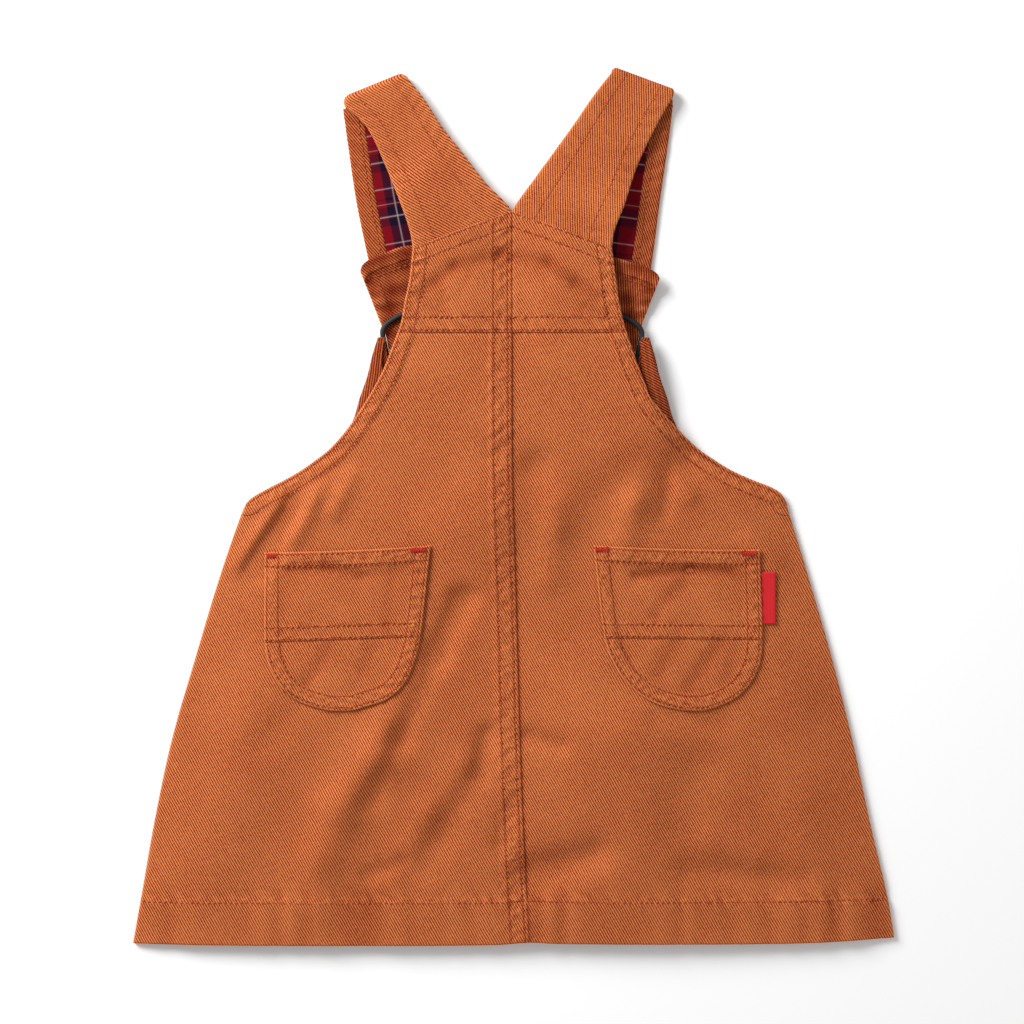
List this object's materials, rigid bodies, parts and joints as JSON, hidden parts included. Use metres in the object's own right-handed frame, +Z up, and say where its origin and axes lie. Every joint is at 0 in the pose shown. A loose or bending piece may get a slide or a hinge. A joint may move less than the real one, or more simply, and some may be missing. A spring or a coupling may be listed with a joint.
{
  "type": "pinafore dress",
  "caption": "Small child's pinafore dress in cotton drill, laid face down with crossed straps, back yoke, patch pockets and wire buckles.",
  "frame": {"origin": "on the table, under the middle of the dress", "axes": "+X to the right across the back, +Y from the hem to the shoulders, +Z up from the table"},
  "size_m": [0.3802, 0.4388, 0.0108],
  "materials": {
    "cotton_drill": "rust orange cotton drill, washed, matte",
    "check_lining": "dark red check cotton, matte",
    "woven_tape": "red woven tape, slight sheen",
    "black_wire": "black coated wire, satin",
    "black_button": "black coated shank button, satin"
  },
  "bodies": {
    "root": {"front_with_bib": "cotton_drill", "back_left": "cotton_drill", "back_right": "cotton_drill", "yoke_left": "cotton_drill", "yoke_right": "cotton_drill", "bib_facing_left": "cotton_drill", "bib_facing_right": "cotton_drill", "strap_left": "cotton_drill", "strap_right": "cotton_drill", "strap_lining_left": "check_lining", "strap_lining_right": "check_lining", "pocket_left_lower": "cotton_drill", "pocket_left_upper": "cotton_drill", "pocket_right_lower": "cotton_drill", "pocket_right_upper": "cotton_drill", "buckle_left": "black_wire", "buckle_right": "black_wire", "button_left": "black_button", "button_right": "black_button", "label_tab": "woven_tape"}
  },
  "joints": []
}
